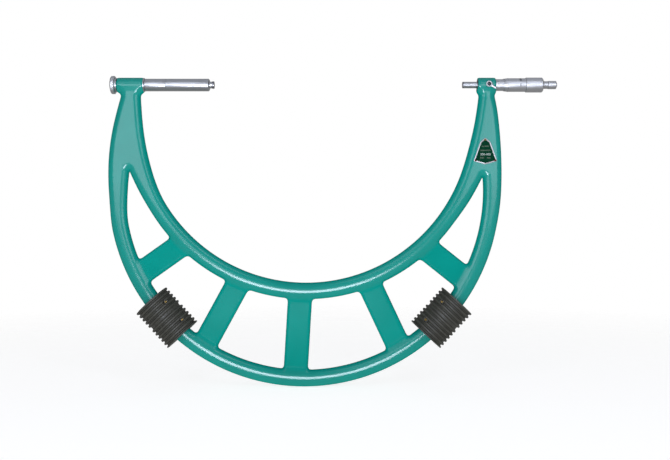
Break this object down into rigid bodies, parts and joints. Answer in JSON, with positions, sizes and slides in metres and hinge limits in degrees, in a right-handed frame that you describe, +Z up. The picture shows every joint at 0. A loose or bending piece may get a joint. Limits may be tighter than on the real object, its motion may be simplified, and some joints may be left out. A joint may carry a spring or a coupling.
{
  "type": "outside micrometer",
  "caption": "Large outside micrometer with a spoked cast frame, exchangeable anvil, screw-fed spindle, ratchet stop, spindle lock and ribbed hand grips.",
  "frame": {"origin": "centre of the anvil's measuring face", "axes": "+X along the measuring axis from the anvil towards the spindle, +Z up out of the open throat, +Y through the frame's thickness, away from the face with the name plate"},
  "size_m": [0.5559, 0.049, 0.3847],
  "materials": {
    "enamel": "glossy enamel on an iron casting",
    "plate": "printed green field in a bare border",
    "rivet": "dull",
    "ground_steel": "ground",
    "satin_chrome": "satin",
    "carbide": "lapped",
    "grip_plastic": "moulded matte",
    "brass": "turned"
  },
  "bodies": {
    "frame_body": {"frame": "enamel", "name_plate": "plate", "plate_rivets": "rivet", "inner_sleeve": "ground_steel", "outer_sleeve": "satin_chrome", "adjusting_nut": "ground_steel", "lock_pad": "brass", "grip_left_upper_front": "grip_plastic", "grip_left_upper_back": "grip_plastic", "grip_left_lower_front": "grip_plastic", "grip_left_lower_back": "grip_plastic", "grip_left_screws": "brass", "grip_right_upper_front": "grip_plastic", "grip_right_upper_back": "grip_plastic", "grip_right_lower_front": "grip_plastic", "grip_right_lower_back": "grip_plastic", "grip_right_screws": "brass"},
    "anvil": {"anvil_rod": "ground_steel", "anvil_collar": "ground_steel", "anvil_tip": "carbide"},
    "washer": {"anvil_washer": "ground_steel"},
    "nut": {"anvil_nut": "satin_chrome"},
    "spindle": {"spindle": "ground_steel", "spindle_tip": "carbide"},
    "thimble": {"thimble": "satin_chrome", "thimble_grip": "satin_chrome", "ratchet_stem": "satin_chrome", "ratchet_spring": "ground_steel", "ratchet_screw": "ground_steel"},
    "ratchet": {"ratchet_knob": "satin_chrome"},
    "lock": {"lock_screw": "ground_steel", "lock_lever": "satin_chrome"}
  },
  "joints": [
    {"name": "anvil_withdraw", "type": "slide", "parent": "frame_body", "child": "anvil", "axis": [1, 0, 0], "range_m": [0, 0.045]},
    {"name": "nut_travel", "type": "slide", "parent": "frame_body", "child": "washer", "axis": [-1, 0, 0], "range_m": [0, 0.005]},
    {"name": "nut_turn", "type": "hinge", "parent": "washer", "child": "nut", "pos_m": [-0.124, 0, 0], "axis": [-1, 0, 0], "range_deg": [0, 1800]},
    {"name": "spindle_feed", "type": "slide", "parent": "frame_body", "child": "spindle", "axis": [1, 0, 0], "range_m": [-0.0075, 0.0175]},
    {"name": "thimble_turn", "type": "hinge", "parent": "spindle", "child": "thimble", "pos_m": [0.38, 0, 0], "axis": [1, 0, 0], "range_deg": [-5400, 12600]},
    {"name": "ratchet_turn", "type": "hinge", "parent": "thimble", "child": "ratchet", "pos_m": [0.418, 0, 0], "axis": [1, 0, 0], "continuous": true},
    {"name": "lock_turn", "type": "hinge", "parent": "frame_body", "child": "lock", "pos_m": [0.3391, -0.01, 0], "axis": [0, 1, 0], "range_deg": [0, 60]}
  ],
  "couplings": [
    {"joint": "thimble_turn", "follows": "spindle_feed", "rad_per_m": 12566},
    {"joint": "nut_turn", "follows": "nut_travel", "rad_per_m": 6283.1}
  ]
}
